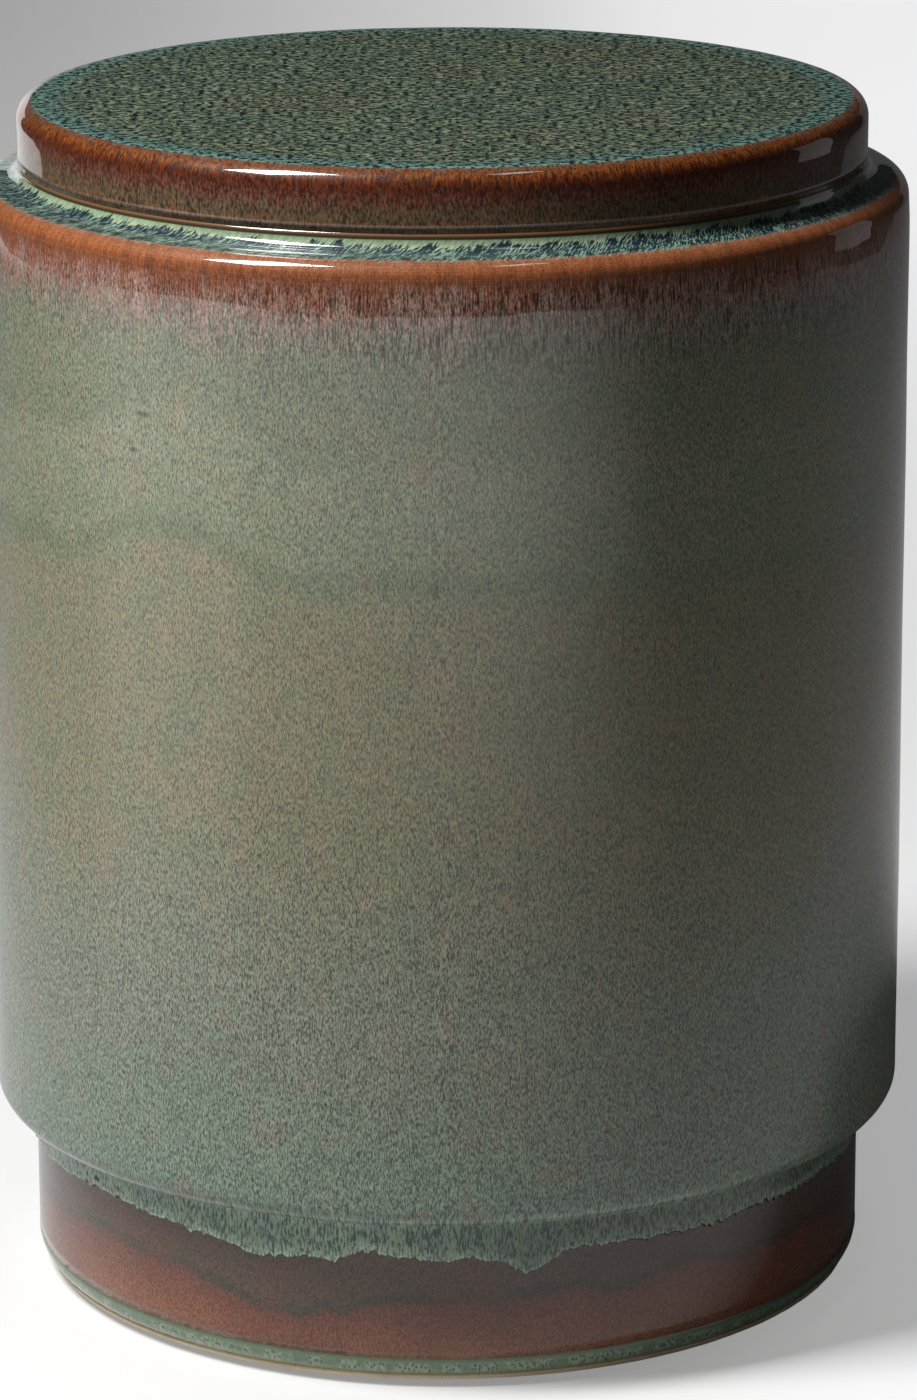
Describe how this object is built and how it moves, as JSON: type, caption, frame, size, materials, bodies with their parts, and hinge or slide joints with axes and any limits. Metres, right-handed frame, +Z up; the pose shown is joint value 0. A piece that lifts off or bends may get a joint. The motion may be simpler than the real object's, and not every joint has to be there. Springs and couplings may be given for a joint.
{
  "type": "ceramic garden stool",
  "caption": "Round hollow glazed stoneware garden stool: a raised seat cap on a straight drum, over a narrower plinth with a skirt of glaze drips, on felt pads.",
  "frame": {"origin": "on the floor under the middle of the stool, at the felt pads' undersides", "axes": "+Z up along the stool's axis of revolution, -Y is the side in the picture"},
  "size_m": [0.354, 0.354, 0.4599],
  "materials": {
    "stoneware": "unglazed fired clay, matt",
    "seat_glaze": "high gloss, dark green flecked, breaking rust on the edge",
    "drum_glaze": "gloss to satin, sage green flecked, breaking rust on the shoulder",
    "plinth_glaze": "satin, maroon brown",
    "foot_glaze": "gloss, bubbly green",
    "glaze_run": "gloss, thick green",
    "felt": "pressed felt, dark brown",
    "adhesive": "adhesive film"
  },
  "bodies": {
    "root": {"seat_cap": "stoneware", "shoulder_ring": "stoneware", "drum_wall": "stoneware", "plinth_ring": "stoneware", "cap_seam_coil": "stoneware", "shoulder_seam_coil": "stoneware", "plinth_seam_coil": "stoneware", "seat_glaze": "seat_glaze", "drum_glaze": "drum_glaze", "plinth_glaze": "plinth_glaze", "foot_glaze": "foot_glaze", "glaze_run": "glaze_run", "foot_pad_1": "felt", "foot_pad_2": "felt", "foot_pad_3": "felt", "foot_pad_4": "felt", "pad_adhesive_1": "adhesive", "pad_adhesive_2": "adhesive", "pad_adhesive_3": "adhesive", "pad_adhesive_4": "adhesive"}
  },
  "joints": []
}
